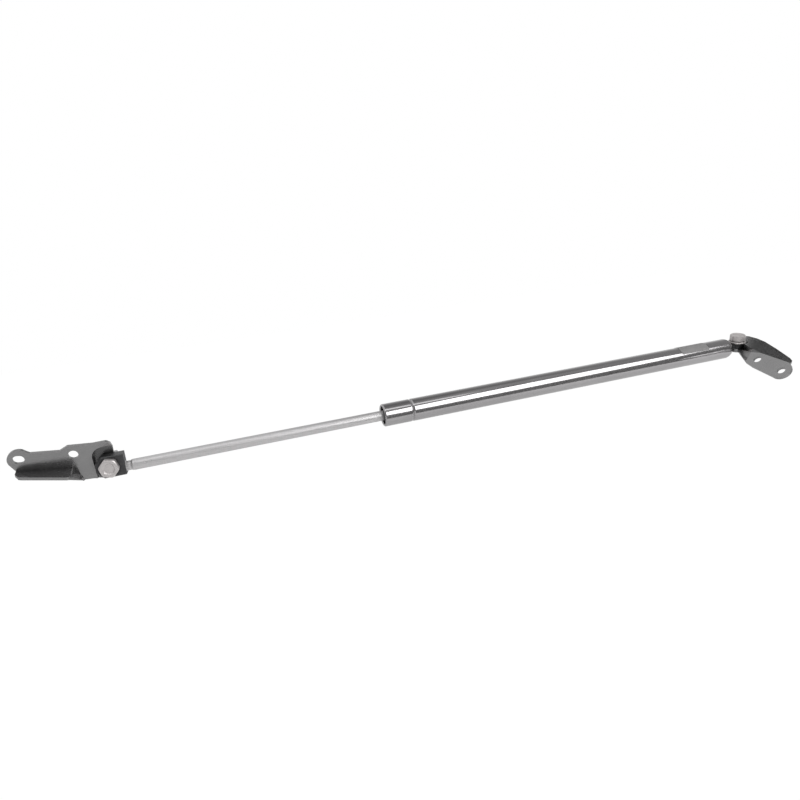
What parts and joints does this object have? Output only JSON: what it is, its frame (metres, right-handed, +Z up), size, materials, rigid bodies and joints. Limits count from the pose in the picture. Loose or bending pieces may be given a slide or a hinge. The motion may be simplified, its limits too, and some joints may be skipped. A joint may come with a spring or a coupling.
{
  "type": "gas strut stay",
  "caption": "Gas spring stay with a sliding rod, a sealed cylinder, pivot eyes and a pressed steel mounting bracket at each end.",
  "frame": {"origin": "centre of the round mounting hole in the rod-side bracket, halfway through the sheet", "axes": "+X along the strut from the rod end to the cylinder end, +Y away from the front, +Z up; the rod-side pivot bolt lies along Y"},
  "size_m": [0.6317, 0.0887, 0.0463],
  "materials": {
    "tube_paint": "gloss dark grey coating on drawn steel",
    "rod_chrome": "ground and hard-chromed rod",
    "bracket_steel": "satin passivated pressed steel",
    "dark_steel": "dark phosphated forging",
    "zinc_steel": "bright zinc plating",
    "label_film": "blank matt film",
    "guide_plastic": "moulded black bearing plastic",
    "seal_rubber": "nitrile rubber",
    "piston_aluminium": "turned"
  },
  "bodies": {
    "cylinder": {"cylinder_tube": "tube_paint", "tube_end_plug": "dark_steel", "tube_label": "label_film", "rod_guide": "guide_plastic", "rod_seal": "seal_rubber", "seal_support_washer": "zinc_steel", "tube_end_eye": "dark_steel", "tube_end_bush": "guide_plastic"},
    "piston_group": {"piston": "piston_aluminium", "piston_ring": "seal_rubber", "piston_valve_disc": "zinc_steel", "piston_washer": "zinc_steel"},
    "rod": {"piston_rod": "rod_chrome", "rod_end_block": "dark_steel", "rod_end_bush": "guide_plastic"},
    "rod_mount": {"rod_bracket": "bracket_steel", "rod_end_bolt": "zinc_steel", "rod_end_washer": "zinc_steel", "rod_end_nut": "bracket_steel"},
    "tube_mount": {"tube_bracket": "bracket_steel", "tube_end_bolt": "zinc_steel", "tube_end_washer": "zinc_steel"}
  },
  "joints": [
    {"name": "rod_slide", "type": "slide", "parent": "cylinder", "child": "piston_group", "axis": [1, 0, 0], "range_m": [0, 0.175]},
    {"name": "rod_spin", "type": "hinge", "parent": "piston_group", "child": "rod", "pos_m": [0.0216, -0.00031, -0.01531], "axis": [1, 0, 0], "continuous": true},
    {"name": "rod_bracket_swing", "type": "hinge", "parent": "rod", "child": "rod_mount", "pos_m": [0.0216, -0.00031, -0.01251], "axis": [0, -1, 0], "range_deg": [-5, 110]},
    {"name": "tube_bracket_swing", "type": "hinge", "parent": "cylinder", "child": "tube_mount", "pos_m": [0.57, -0.00031, -0.01531], "axis": [0, -0.1891, 0.982], "range_deg": [-10, 95]}
  ]
}
